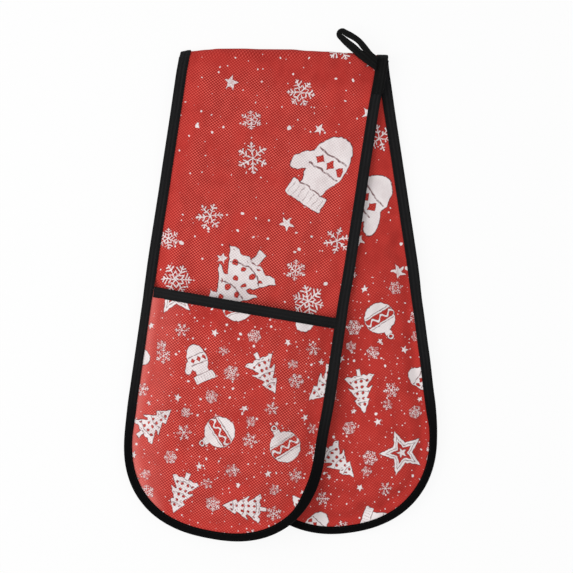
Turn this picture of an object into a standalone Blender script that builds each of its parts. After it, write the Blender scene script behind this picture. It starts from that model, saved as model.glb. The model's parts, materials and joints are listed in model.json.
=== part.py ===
"""Padded double oven glove, folded once across the middle and lying flat.

A long quilted strip has a hand pocket at each rounded end, and it is bound all round with
tape.  It is folded along a line that runs slightly askew of square, so its two legs splay:
the front leg, with its pocket on top, lies over the back leg, whose pocket is underneath.
Metres, +Z up.  The table is z = 0, +Y runs up towards the fold, and the origin is at the
middle of the object's footprint.  The front leg turns on the crease inside the fold.
"""

import math

import bmesh
import bpy
import numpy as np
from mathutils import Matrix, Vector

COLLECTION_NAME = "double_oven_glove"

# Strip: width, each leg's length from the fold's outer edge to its tip, and the splay
STRIP_WIDTH = 0.180
FRONT_LEG_LENGTH = 0.4345
BACK_LEG_LENGTH = 0.4300
LEG_SPLAY = math.radians(8.4)

# Rounded hand end: its length along the leg, and how square its corners are
END_DEPTH = 0.0887
END_SQUARENESS = 2.28

# Plies: full thickness in the middle, and thickness where the binding pinches them
COVER_THICKNESS = 0.0008
BOUND_COVER_THICKNESS = 0.0005
WADDING_THICKNESS = 0.0030
BOUND_WADDING_THICKNESS = 0.0008
POCKET_WADDING_THICKNESS = 0.0018
BOUND_POCKET_WADDING_THICKNESS = 0.0005
LINING_THICKNESS = 0.0006
BOUND_LINING_THICKNESS = 0.0005
PLY_GAP = 0.0003

# Pocket: mouth line below the fold's outer edge, its slant, and the room for the hand
POCKET_MOUTH = 0.2248
MOUTH_SLANT = math.radians(1.4)
HAND_SPACE = 0.0075
BOUND_HAND_SPACE = 0.0012

# Binding tape: width that shows, thickness, and the lapped end at the fold
BINDING_WIDTH = 0.009
BINDING_THICKNESS = 0.0006
MOUTH_BINDING_WIDTH = 0.008
LAP_START = 0.0010
LAP_LENGTH = 0.0315
LAP_EXTRA_WIDTH = 0.0006

# Crown: how far in from the binding the padding and the hand space reach full height
PAD_ROLL = 0.016
HAND_ROLL = 0.042
TURN_DOWN = 0.005

# Lie of the legs: gap at the crease, gaps under bound edges, and where the straps rise
CREASE_GAP = 0.0008
LEG_GAP = 0.0008
SEAM_GAP = 0.0003
TABLE_CLEARANCE = 0.0004
RAMP_START = 0.105
DRAPE_TOP_INSET = 0.050
DRAPE_SHOULDER_REACH = 0.060
DRAPE_FOOT_REACH = 0.095
SETTLE_START = 0.010
SETTLE_LENGTH = 0.060

# Hanging loop: a narrow tape doubled back on itself, sewn in under the binding's lap
LOOP_LENGTH = 0.0438
LOOP_TAPE_WIDTH = 0.0056
LOOP_THICKNESS = 0.0018
LOOP_EYE = 0.0026
LOOP_ROOT_SLIT = 0.0004
LOOP_ROOT_DROP = 0.0048
LOOP_AIM = math.radians(140.0)
LOOP_SEAT_GAP = 0.0003
LOOP_ROOT_OVERLAP = 0.0010

# Mesh steps: rows between the named places along a leg, round an end, a fold and a loop
STRAP_STEPS = 3
RAMP_STEPS = 3
POCKET_STEPS = 3
END_STEPS = 12
FOLD_STEPS = 8
LOOP_SIDE_STEPS = 7
LOOP_TIP_STEPS = 8

HALF_WIDTH = STRIP_WIDTH / 2
BOUND_INSET = BINDING_THICKNESS + PLY_GAP
SWELL_START = BINDING_WIDTH + PLY_GAP
COLUMN_INSETS = (
    BOUND_INSET,
    SWELL_START,
    SWELL_START + TURN_DOWN,
    SWELL_START + PAD_ROLL,
    SWELL_START + HAND_ROLL,
    HALF_WIDTH,
)

STRAP_PLIES = (
    ("inner_cover", COVER_THICKNESS, BOUND_COVER_THICKNESS),
    ("wadding", WADDING_THICKNESS, BOUND_WADDING_THICKNESS),
    ("outer_cover", COVER_THICKNESS, BOUND_COVER_THICKNESS),
)
POCKET_PLIES = (
    ("pocket_lining", LINING_THICKNESS, BOUND_LINING_THICKNESS),
    ("pocket_wadding", POCKET_WADDING_THICKNESS, BOUND_POCKET_WADDING_THICKNESS),
    ("pocket_cover", COVER_THICKNESS, BOUND_COVER_THICKNESS),
)

SHARP_ANGLE = math.radians(50)
MERGE_DISTANCE = 0.00003

# Colour, roughness and metallic value of each finish
FINISHES = {
    "print": ((0.56, 0.042, 0.036, 1.0), 0.82, 0.0),
    "wadding": ((0.78, 0.77, 0.73, 1.0), 0.95, 0.0),
    "lining": ((0.72, 0.70, 0.66, 1.0), 0.90, 0.0),
    "tape": ((0.010, 0.010, 0.011, 1.0), 0.70, 0.0),
}


def smooth(share):
    """Smoothstep of a share, held at 0 and 1 outside its span."""
    share = np.clip(share, 0, 1)
    return share * share * (3 - 2 * share)


def mix(first, second, share):
    return first + (second - first) * share


def swell(inset):
    """Share of the full padding at a distance in from the strip's outline."""
    return smooth((inset - SWELL_START) / PAD_ROLL)


def ply_thickness(ply, inset):
    _, full, bound = ply
    return mix(bound, full, swell(inset))


def stack_thickness(plies, inset):
    gaps = PLY_GAP * (len(plies) - 1)
    return gaps + sum(ply_thickness(ply, inset) for ply in plies)


def strap_half(inset):
    return stack_thickness(STRAP_PLIES, inset) / 2


def pocket_start(inset):
    """Offset of the pocket lining's hand side from the middle of the strap."""
    room = mix(BOUND_HAND_SPACE, HAND_SPACE, smooth((inset - SWELL_START) / HAND_ROLL))
    return strap_half(inset) + room


def pocket_outside(inset):
    return pocket_start(inset) + stack_thickness(POCKET_PLIES, inset)


STRAP_FULL_HALF = float(strap_half(HALF_WIDTH))
STRAP_BOUND_HALF = float(strap_half(0))
CREASE_RADIUS = CREASE_GAP / 2
FOLD_MIDDLE_RADIUS = CREASE_RADIUS + STRAP_FULL_HALF
FOLD_OUTER_RADIUS = FOLD_MIDDLE_RADIUS + STRAP_FULL_HALF
AXIS_HEIGHT = FOLD_OUTER_RADIUS
TAPE_STEP = PLY_GAP + BINDING_THICKNESS
HELD_UP = TABLE_CLEARANCE + TAPE_STEP


def leg_shape(name, side, up, length):
    """Named values of one leg; side is +1 for the leg that leans left, up its pocket's side."""
    return {
        "name": name,
        "side": side,
        "up": up,
        "end_start": length - FOLD_OUTER_RADIUS - END_DEPTH,
        "mouth": POCKET_MOUTH - FOLD_OUTER_RADIUS,
    }


FRONT = leg_shape("front", 1, 1, FRONT_LEG_LENGTH)
BACK = leg_shape("back", -1, -1, BACK_LEG_LENGTH)


def to_plan(leg, across, along):
    """Plan place, from the crease's middle, of a place across and along a leg."""
    side = leg["side"]
    x = across * math.cos(LEG_SPLAY) - side * along * math.sin(LEG_SPLAY)
    y = -side * across * math.sin(LEG_SPLAY) - along * math.cos(LEG_SPLAY)
    return x, y


def to_leg(leg, x, y):
    """Place across and along a leg of a plan place measured from the crease's middle."""
    side = leg["side"]
    across = x * math.cos(LEG_SPLAY) - side * y * math.sin(LEG_SPLAY)
    along = -side * x * math.sin(LEG_SPLAY) - y * math.cos(LEG_SPLAY)
    return across, along


def crease_row(leg, across):
    """Place along a leg of the crease, which crosses the leg askew."""
    return -leg["side"] * across * math.tan(LEG_SPLAY)


def rise(leg, along):
    """Share by which a strap has risen from its place at the fold to lie over its pocket."""
    return smooth((along - RAMP_START) / (leg["mouth"] - RAMP_START))


def back_middle(inset, along):
    """Height of the middle of the back strap: on the table, then over its own pocket.

    The pocket's cover lies on the table, but its bound edge and mouth stay just clear of it.
    """
    mouth_end = BACK["mouth"] + HALF_WIDTH * math.tan(MOUTH_SLANT) + MOUTH_BINDING_WIDTH
    down_from_edge = smooth((inset - SWELL_START) / TURN_DOWN)
    down_from_mouth = smooth((along - mouth_end) / TURN_DOWN)
    over_pocket = pocket_outside(inset) + HELD_UP * (1 - down_from_edge * down_from_mouth)
    return mix(STRAP_FULL_HALF, over_pocket, rise(BACK, along))


def front_middle(x, y):
    """Height of the middle of the front strap, draped over the back leg's left shoulder."""
    across, along = to_leg(BACK, x, y)
    highest = pocket_outside(HALF_WIDTH) + HELD_UP
    top = mix(STRAP_FULL_HALF, highest, rise(BACK, along)) + STRAP_FULL_HALF + LEG_GAP
    shoulder = back_middle(0, along) + STRAP_BOUND_HALF + TAPE_STEP + LEG_GAP
    foot = TABLE_CLEARANCE
    shoulder_end = -HALF_WIDTH - DRAPE_SHOULDER_REACH
    on_top = smooth((across - shoulder_end) / (HALF_WIDTH + DRAPE_SHOULDER_REACH - DRAPE_TOP_INSET))
    on_shoulder = smooth((across + HALF_WIDTH + DRAPE_FOOT_REACH) / DRAPE_FOOT_REACH)
    draped = foot + (shoulder - foot) * on_shoulder + (top - shoulder) * on_top
    flat = STRAP_FULL_HALF * 2 + CREASE_GAP
    settled = smooth((-y - SETTLE_START) / SETTLE_LENGTH)
    return mix(flat, draped, settled) + STRAP_FULL_HALF


def leg_points(leg, across, along, inset, offset):
    """World points, from the crease's middle, of places on a leg at offsets from its strap."""
    x, y = to_plan(leg, across, along)
    if leg is FRONT:
        middle = front_middle(x, y)
    else:
        middle = back_middle(inset, along)
    return np.stack([x, y, middle + leg["up"] * offset], axis=-1)


def straight_rows(leg, across, with_strap):
    """Places along a leg of the rows of one side, from its top edge to the rounded end."""
    top = crease_row(leg, across) + SEAM_GAP / 2
    mouth = leg["mouth"] + across * math.tan(MOUTH_SLANT)
    knots = [mouth, mouth + MOUTH_BINDING_WIDTH, leg["end_start"]]
    steps = [1, POCKET_STEPS]
    if with_strap:
        knots = [top, RAMP_START, mouth - BINDING_WIDTH] + knots
        steps = [STRAP_STEPS, RAMP_STEPS, 1] + steps
    rows = [mix(a, b, k / n) for a, b, n in zip(knots, knots[1:], steps) for k in range(n)]
    return rows + [leg["end_start"]]


def outline_grid(leg, insets, with_strap):
    """Places across and along a leg, row by row round its outline and inset by inset.

    A row runs from the outline to the spine.  Rows go down the left side, round the end as
    a superellipse and up the right side.
    """
    across_rows = []
    along_rows = []
    insets = np.array(insets)
    share = 1 - insets / HALF_WIDTH
    left = np.array([straight_rows(leg, -edge, with_strap) for edge in share * HALF_WIDTH]).T
    right = np.array([straight_rows(leg, edge, with_strap) for edge in share * HALF_WIDTH]).T
    for row in left:
        across_rows.append(-share * HALF_WIDTH)
        along_rows.append(row)
    power = 2 / END_SQUARENESS
    for step in range(1, END_STEPS):
        turn = math.pi * step / END_STEPS
        reach = math.copysign(abs(math.cos(turn)) ** power, -math.cos(turn))
        across_rows.append(share * HALF_WIDTH * reach)
        along_rows.append(leg["end_start"] + share * END_DEPTH * math.sin(turn) ** power)
    for row in right[::-1]:
        across_rows.append(share * HALF_WIDTH)
        along_rows.append(row)
    return np.array(across_rows), np.array(along_rows)


def finish_object(name, mesh, finish, collection):
    """Link a mesh as one named object with its own Principled material, shaded smooth."""
    colour, roughness, metallic = FINISHES[finish]
    material = bpy.data.materials.new(name + "_" + finish)
    material.use_nodes = True
    shader = material.node_tree.nodes["Principled BSDF"]
    shader.inputs["Base Color"].default_value = colour
    shader.inputs["Roughness"].default_value = roughness
    shader.inputs["Metallic"].default_value = metallic
    material.diffuse_color = colour
    mesh.materials.append(material)
    mesh.shade_smooth()
    mesh.set_sharp_from_angle(angle=SHARP_ANGLE)
    collection.objects.link(bpy.data.objects.new(name, mesh))


def slab(name, low, high, finish, collection):
    """Closed ply between two grids of points: a grid is shaped, then extruded and lifted."""
    rows, columns = low.shape[:2]
    shape = bmesh.new()
    bmesh.ops.create_grid(shape, x_segments=rows - 1, y_segments=columns - 1, size=1)
    place = shape.verts.layers.int.new("place")
    for vert in shape.verts:
        row = round((vert.co.x + 1) / 2 * (rows - 1))
        column = round((vert.co.y + 1) / 2 * (columns - 1))
        vert[place] = row * columns + column
        vert.co = low[row, column]
    bmesh.ops.remove_doubles(shape, verts=shape.verts[:], dist=MERGE_DISTANCE)
    raised = bmesh.ops.extrude_face_region(shape, geom=shape.faces[:])
    for vert in raised["geom"]:
        if isinstance(vert, bmesh.types.BMVert):
            vert.co = high[divmod(vert[place], columns)]
    bmesh.ops.recalc_face_normals(shape, faces=shape.faces[:])
    mesh = bpy.data.meshes.new(name)
    shape.to_mesh(mesh)
    shape.free()
    finish_object(name, mesh, finish, collection)


def loft(name, sections, finish, collection):
    """Closed tape through like sections, with a flat cap on each end."""
    count, corners = sections.shape[:2]
    faces = [tuple(range(corners)), tuple((count - 1) * corners + k for k in range(corners))]
    for step in range(count - 1):
        for k in range(corners):
            after = (k + 1) % corners
            start = step * corners
            faces.append((start + k, start + after, start + corners + after, start + corners + k))
    mesh = bpy.data.meshes.new(name)
    mesh.from_pydata(sections.reshape(-1, 3).tolist(), [], faces)
    shape = bmesh.new()
    shape.from_mesh(mesh)
    bmesh.ops.recalc_face_normals(shape, faces=shape.faces[:])
    shape.to_mesh(mesh)
    shape.free()
    finish_object(name, mesh, finish, collection)


def folded_tape(reach, wall, low, high):
    """Insets and offsets of the corners of a tape folded over an edge, as a U on its side."""
    insets = np.array([reach, 0, 0, reach, reach, wall, wall, reach])
    offsets = np.stack([low, low, high, high, high - wall, high - wall, low + wall, low + wall])
    return insets, offsets


def build_strap(leg, finishes, collection):
    """The three plies of one leg's strap, side by side from the crease outwards."""
    across, along = outline_grid(leg, COLUMN_INSETS, True)
    inset = np.broadcast_to(COLUMN_INSETS, across.shape)
    level = -strap_half(inset)
    for ply in STRAP_PLIES:
        upper = level + ply_thickness(ply, inset)
        low = leg_points(leg, across, along, inset, level)
        high = leg_points(leg, across, along, inset, upper)
        slab(leg["name"] + "_" + ply[0], low, high, finishes[ply[0]], collection)
        level = upper + PLY_GAP


def build_pocket(leg, finishes, collection):
    """The three plies of one hand pocket, outside the room left for the hand."""
    across, along = outline_grid(leg, COLUMN_INSETS, False)
    inset = np.broadcast_to(COLUMN_INSETS, across.shape)
    level = pocket_start(inset)
    for ply in POCKET_PLIES:
        upper = level + ply_thickness(ply, inset)
        low = leg_points(leg, across, along, inset, level)
        high = leg_points(leg, across, along, inset, upper)
        slab(leg["name"] + "_" + ply[0], low, high, finishes[ply[0]], collection)
        level = upper + PLY_GAP


def build_mouth_binding(leg, collection):
    """Tape folded over the pocket's free edge, from one edge binding to the other."""
    edge = HALF_WIDTH - np.array(COLUMN_INSETS[1:])
    edge[0] -= PLY_GAP
    across = np.concatenate([-edge, edge[::-1][1:]])
    inset = HALF_WIDTH - np.abs(across)
    low = pocket_start(inset) - TAPE_STEP
    high = pocket_outside(inset) + TAPE_STEP
    depths, offsets = folded_tape(MOUTH_BINDING_WIDTH + TAPE_STEP, BINDING_THICKNESS, low, high)
    start = leg["mouth"] - TAPE_STEP + across * math.tan(MOUTH_SLANT)
    sections = [
        leg_points(leg, across, start + depth, inset, offset)
        for depth, offset in zip(depths, offsets)
    ]
    name = leg["name"] + "_pocket_mouth_binding"
    loft(name, np.stack(sections, axis=1), "tape", collection)


def build_edge_binding(leg, collection):
    """Tape folded over the bound edge of one leg, thicker where it takes in the pocket."""
    _, along = outline_grid(leg, (0.0,), True)
    rows = len(along)
    first_pocket_row = STRAP_STEPS + RAMP_STEPS + 1
    takes_pocket = np.zeros(rows)
    takes_pocket[first_pocket_row : rows - first_pocket_row] = 1
    strap_side = STRAP_BOUND_HALF + TAPE_STEP
    pocket_side = float(pocket_outside(0)) + TAPE_STEP
    low = np.full(rows, -strap_side)
    high = mix(strap_side, pocket_side, takes_pocket)
    insets, offsets = folded_tape(BINDING_WIDTH, BINDING_THICKNESS, low, high)
    across, along = outline_grid(leg, insets, True)
    inset = np.broadcast_to(insets, across.shape)
    sections = leg_points(leg, across, along, inset, offsets.T)
    loft(leg["name"] + "_edge_binding", sections, "tape", collection)


def fold_points(x, radius, turn):
    """World points, from the crease's middle, round the fold at a turn from straight down."""
    y = SEAM_GAP / 2 + radius * np.sin(turn)
    z = AXIS_HEIGHT - radius * np.cos(turn)
    return np.stack(np.broadcast_arrays(x, y, z), axis=-1)


def build_fold(finishes, collection):
    """The strap's plies and both bindings where they turn round the crease."""
    turn = np.linspace(0, math.pi, FOLD_STEPS + 1)[:, None]
    edge = HALF_WIDTH - np.array(COLUMN_INSETS)
    across = np.concatenate([-edge, edge[::-1][1:]])
    inset = HALF_WIDTH - np.abs(across)
    x = across / math.cos(LEG_SPLAY)
    level = FOLD_MIDDLE_RADIUS - strap_half(inset)
    for ply in STRAP_PLIES:
        upper = level + ply_thickness(ply, inset)
        low = fold_points(x, level, turn)
        high = fold_points(x, upper, turn)
        slab("fold_" + ply[0], low, high, finishes[ply[0]], collection)
        level = upper + PLY_GAP
    reach = np.array(STRAP_BOUND_HALF + TAPE_STEP)
    insets, offsets = folded_tape(BINDING_WIDTH, BINDING_THICKNESS, -reach, reach)
    for name, side in (("fold_binding_left", -1), ("fold_binding_right", 1)):
        x = side * (HALF_WIDTH - insets) / math.cos(LEG_SPLAY)
        loft(name, fold_points(x, FOLD_MIDDLE_RADIUS + offsets, turn), "tape", collection)


def build_lap(collection):
    """The binding's end, lapped over its start on the front leg's right edge."""
    reach = np.array(STRAP_BOUND_HALF + 2 * TAPE_STEP)
    width = BINDING_WIDTH + LAP_EXTRA_WIDTH + TAPE_STEP
    insets, offsets = folded_tape(width, BINDING_THICKNESS, -reach, reach)
    across = HALF_WIDTH + TAPE_STEP - insets
    sections = [
        leg_points(FRONT, across, crease_row(FRONT, across) + place, insets - TAPE_STEP, offsets)
        for place in (LAP_START, LAP_START + LAP_LENGTH)
    ]
    loft("binding_lap", np.stack(sections), "tape", collection)


def loop_pivot():
    """Plan place and height of the loop's hinge, on top of the lap at its inner edge."""
    across = HALF_WIDTH - BINDING_WIDTH - LAP_EXTRA_WIDTH + LOOP_ROOT_OVERLAP
    x, y = to_plan(FRONT, across, crease_row(FRONT, across) + LOOP_ROOT_DROP)
    lap_top = front_middle(x, y) + STRAP_BOUND_HALF + 2 * TAPE_STEP
    return x, y, lap_top + LOOP_SEAT_GAP + LOOP_THICKNESS / 2


def build_loop(collection):
    """Tape that leaves its root, turns round a blind end and comes back beside itself."""
    x, y, height = loop_pivot()
    root_half = (LOOP_TAPE_WIDTH + LOOP_ROOT_SLIT) / 2
    eye_half = (LOOP_TAPE_WIDTH + LOOP_EYE) / 2
    straight = LOOP_LENGTH - eye_half - LOOP_TAPE_WIDTH / 2
    share = np.linspace(0, 1, LOOP_SIDE_STEPS + 1)
    spread = mix(root_half, eye_half, smooth(share))
    turn = np.linspace(math.pi / 2, -math.pi / 2, LOOP_TIP_STEPS + 1)[1:-1]
    out = share * straight
    forward = np.concatenate([out, straight + eye_half * np.cos(turn), out[::-1]])
    sideways = np.concatenate([spread, eye_half * np.sin(turn), -spread[::-1]])
    path = np.stack([forward, sideways], axis=1)
    heading = np.gradient(path, axis=0)
    heading /= np.linalg.norm(heading, axis=1, keepdims=True)
    normal = np.stack([-heading[:, 1], heading[:, 0]], axis=1)
    half = LOOP_TAPE_WIDTH / 2
    edges = [path + normal * half, path - normal * half]
    root_line = math.pi / 2 - LEG_SPLAY - LOOP_AIM
    for edge in edges:
        for end in (0, -1):
            edge[end, 0] = edge[end, 1] / math.tan(root_line)
    aim = np.array([math.cos(LOOP_AIM), math.sin(LOOP_AIM)])
    beside = np.array([-aim[1], aim[0]])
    corners = []
    for edge, level in ((0, -1), (0, 1), (1, 1), (1, -1)):
        plan = edges[edge][:, :1] * aim + edges[edge][:, 1:] * beside
        z = np.full(len(plan), height + level * LOOP_THICKNESS / 2)
        corners.append(np.column_stack([plan[:, 0] + x, plan[:, 1] + y, z]))
    loft("hanging_loop", np.stack(corners, axis=1), "tape", collection)


def clear_scene():
    for item in list(bpy.data.objects):
        bpy.data.objects.remove(item, do_unlink=True)


def hang_on_pivots(collection):
    """Centre the footprint on the origin and hang the moving pieces on their pivots."""
    corners = np.array([v.co[:] for item in collection.objects for v in item.data.vertices])
    low = corners.min(axis=0)
    high = corners.max(axis=0)
    shift = -(low + high) / 2
    shift[2] = -low[2]
    pivots = {
        "fold_pivot": (0, 0, AXIS_HEIGHT),
        "loop_pivot": loop_pivot(),
    }
    carriers = {}
    for name, place in pivots.items():
        carrier = bpy.data.objects.new(name, None)
        carrier.location = np.array(place) + shift
        collection.objects.link(carrier)
        carriers[name] = carrier
    carriers["loop_pivot"].location -= carriers["fold_pivot"].location
    carriers["loop_pivot"].parent = carriers["fold_pivot"]
    for item in [entry for entry in collection.objects if entry.type == "MESH"]:
        if item.name == "hanging_loop":
            carrier, place = carriers["loop_pivot"], pivots["loop_pivot"]
        elif item.name.startswith("front_") or item.name == "binding_lap":
            carrier, place = carriers["fold_pivot"], pivots["fold_pivot"]
        else:
            item.location = shift
            continue
        item.data.transform(Matrix.Translation(-Vector(place)))
        item.parent = carrier


def main():
    clear_scene()
    collection = bpy.data.collections.new(COLLECTION_NAME)
    bpy.context.scene.collection.children.link(collection)
    finishes = {
        "inner_cover": "print",
        "wadding": "wadding",
        "outer_cover": "print",
        "pocket_lining": "lining",
        "pocket_wadding": "wadding",
        "pocket_cover": "print",
    }
    for leg in (BACK, FRONT):
        build_strap(leg, finishes, collection)
        build_pocket(leg, finishes, collection)
        build_mouth_binding(leg, collection)
        build_edge_binding(leg, collection)
    build_fold(finishes, collection)
    build_lap(collection)
    build_loop(collection)
    hang_on_pivots(collection)


main()
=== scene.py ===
"""Looks of the padded double oven glove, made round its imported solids.

The glove is a long padded strip with a hand pocket at each rounded end.  It lies folded once
across the middle, with the front leg over the back leg.  The sections follow the order in which
it is sewn: wadding, printed covers, pockets, mouth tapes, edge binding, lap, stitching and loop.
Metres, +Z up, in the frame of the solids.
"""

import json
import math
from functools import partialmethod, reduce

import bmesh
import bpy
import numpy as np
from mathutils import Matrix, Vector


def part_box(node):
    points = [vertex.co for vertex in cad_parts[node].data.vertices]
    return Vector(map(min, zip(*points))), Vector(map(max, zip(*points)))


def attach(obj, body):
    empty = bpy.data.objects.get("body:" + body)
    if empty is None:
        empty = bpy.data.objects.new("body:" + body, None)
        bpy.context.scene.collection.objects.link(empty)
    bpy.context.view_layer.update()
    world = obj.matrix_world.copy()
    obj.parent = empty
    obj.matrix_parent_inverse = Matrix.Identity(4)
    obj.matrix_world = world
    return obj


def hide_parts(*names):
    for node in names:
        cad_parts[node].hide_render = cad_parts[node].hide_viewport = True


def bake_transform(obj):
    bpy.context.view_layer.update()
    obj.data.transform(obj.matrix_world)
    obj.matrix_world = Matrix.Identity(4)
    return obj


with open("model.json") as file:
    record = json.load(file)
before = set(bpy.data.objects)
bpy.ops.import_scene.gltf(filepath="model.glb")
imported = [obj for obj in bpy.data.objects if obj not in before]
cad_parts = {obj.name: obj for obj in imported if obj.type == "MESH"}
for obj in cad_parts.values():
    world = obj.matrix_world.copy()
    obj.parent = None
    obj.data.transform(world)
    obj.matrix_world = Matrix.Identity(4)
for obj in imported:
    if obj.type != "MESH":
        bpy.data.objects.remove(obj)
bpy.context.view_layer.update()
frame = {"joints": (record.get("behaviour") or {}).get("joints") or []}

# Wadding of the strip
# One length of needled polyester wadding lies between the strip's two covers.  The edge binding
# pinches it flat all round, and it is split at the crease, where the front leg turns.

HALF_WIDTH = 0.090
LEG_LENGTHS = {"front": 0.4345, "back": 0.4300}
SPLAY = math.radians(8.4)
END_DEPTH = 0.0887
END_SQUARENESS = {"front": 2.34, "back": 2.20}
POCKET_MOUTH = 0.2248
MOUTH_SLANT = math.radians(1.4)
PLY_GAP = 0.0003
BOUND_INSET = 0.0015
BINDING_WIDTH = 0.0088
TAPE_THICKNESS = 0.0006
MOUTH_TAPE_WIDTH = 0.0086
SWELL_START = 0.0096
PAD_ROLL = 0.0135
TUCK_DEPTH = 0.0055
TUCK_LENGTH = 0.013
TUCK_POWER = 1.5
HAND_ROLL = 0.042
HAND_SPACE = 0.0075
BOUND_HAND_SPACE = 0.0012
TURN_DOWN = 0.005
CREASE_GAP = 0.0008
LEG_GAP = 0.0008
TABLE_CLEARANCE = 0.0004
RAMP_START = 0.105
DRAPE_TOP_INSET = 0.050
DRAPE_SHOULDER_REACH = 0.060
DRAPE_FOOT_REACH = 0.095
SETTLE_START = 0.010
SETTLE_LENGTH = 0.060
LIFT = 0.0009
LIFT_LENGTH = 0.085
RIPPLE = 0.00055
RIPPLE_LENGTH = 0.026
CRUMPLE = 0.0021
CRUMPLE_PLACE = (-0.086, -0.192)
CRUMPLE_HEADING = math.radians(-48.0)
CRUMPLE_SPAN = (0.018, 0.0075)
DOWN_PLACES = (0.0, 0.014, 0.05, 0.10, 0.18, 0.22, 0.26, 0.30, 0.34, 0.44)
WIDER = (0.0016, 0.0016, 0.0010, 0.0010, 0.0010, 0.0002, 0.0002, 0.0002, -0.0010, -0.0004)
LEANS = {
    "front": (0.0004, 0.0, -0.0005, -0.0008, -0.0013, -0.0014, -0.0013, -0.0013, -0.0014, -0.0012),
    "back": (0.0004, 0.0, 0.0004, 0.0006, 0.0006, 0.0003, -0.0002, -0.0012, -0.0021, -0.0010),
}
CROWN_PLACES = (-0.090, -0.080, -0.067, -0.056, -0.035, -0.020, 0.006, 0.022, 0.036, 0.055, 0.090)
CROWN = (1.18, 1.50, 1.36, 1.52, 1.54, 1.44, 1.41, 1.17, 1.06, 0.85, 0.60)
CORNER_PULL = 0.0012
WAVE_COUNT = 6
WAVE_LENGTHS = (0.7, 1.4)
TUCK_SEED = 5
LIFT_SEED = 3
RIPPLE_SEED = 8
FOLD_STEPS = 40
END_PROBE_ROWS = 400
END_ROWS = 2.7
STEP_SHARES = (0.55, 0.45)
MERGE_DISTANCE = 0.00002
SHARP_ANGLE = math.radians(50)

# Full and bound thickness of each ply, in the order in which they lie from the inner cover out
STRAP_PLIES = {
    "inner_cover": (0.0008, 0.0005),
    "wadding": (0.0030, 0.0008),
    "outer_cover": (0.0008, 0.0005),
}
POCKET_PLIES = {
    "pocket_lining": (0.0006, 0.0005),
    "pocket_wadding": (0.0018, 0.0005),
    "pocket_cover": (0.0008, 0.0005),
}

fold_hinge = next(joint for joint in frame["joints"] if joint["name"] == "fold_hinge")
fold_low, fold_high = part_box("fold_wadding")
CREASE = np.array([(fold_low.x + fold_high.x) / 2, fold_hinge["pos_m"][1], 0.0])
AXIS_HEIGHT = fold_hinge["pos_m"][2]


def smooth(share):
    """Smoothstep of a share, held at 0 and 1 outside its span."""
    share = np.clip(share, 0, 1)
    return share * share * (3 - 2 * share)


def mix(first, second, share):
    return first + (second - first) * share


def squared(wave, power):
    """A wave between -1 and 1 made squarer: its size to a power, with its own sign."""
    return np.sign(wave) * np.abs(wave) ** power


def points_of(*axes):
    """One array of places from an array for each axis."""
    return np.stack(np.broadcast_arrays(*axes), axis=-1)


def eased(place, places, values):
    """Curve through values at places, level at each of them: a sum of smoothsteps."""
    total = values[0] + 0 * place
    for start, end, first, last in zip(places, places[1:], values, values[1:]):
        total = total + (last - first) * smooth((place - start) / (end - start))
    return total


def waves(x, y, length, seed):
    """Even waves of about one length: the mean of a few sines, each with its own heading."""
    draw = np.random.default_rng(seed)
    total = 0
    for _ in range(WAVE_COUNT):
        heading, phase = draw.uniform(0, 2 * math.pi, 2)
        pitch = length * draw.uniform(*WAVE_LENGTHS)
        place = x * math.cos(heading) + y * math.sin(heading)
        total = total + np.sin(2 * math.pi * place / pitch + phase)
    return total / math.sqrt(2 * WAVE_COUNT)


def swell(inset, run):
    """Share of the full padding in from the outline; tucks along the edge hold it back."""
    tuck = TUCK_DEPTH * np.abs(waves(run, 0 * run, TUCK_LENGTH * 2, TUCK_SEED)) ** TUCK_POWER
    return smooth((inset - SWELL_START - tuck * smooth((inset - SWELL_START) / TURN_DOWN)) / PAD_ROLL)


def thickness(ply, inset, run):
    full, bound = ply
    return mix(bound, full, swell(inset, run))


def stack(plies, inset, run):
    return PLY_GAP * (len(plies) - 1) + sum(thickness(ply, inset, run) for ply in plies.values())


def strap_half(inset, run):
    return stack(STRAP_PLIES, inset, run) / 2


def pocket_start(inset, run):
    """Offset of the pocket's hand side from the middle of the strap."""
    room = mix(BOUND_HAND_SPACE, HAND_SPACE, smooth((inset - SWELL_START) / HAND_ROLL))
    return strap_half(inset, run) + room


def pocket_outside(inset, run):
    return pocket_start(inset, run) + stack(POCKET_PLIES, inset, run)


FULL_HALF = float(strap_half(HALF_WIDTH, 0.0))
BOUND_HALF = float(strap_half(0.0, 0.0))
BOUND_POCKET = float(pocket_outside(0.0, 0.0))
FOLD_RADIUS = CREASE_GAP / 2 + FULL_HALF
TAPE_STEP = PLY_GAP + TAPE_THICKNESS
HELD_UP = TABLE_CLEARANCE + TAPE_STEP


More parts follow.
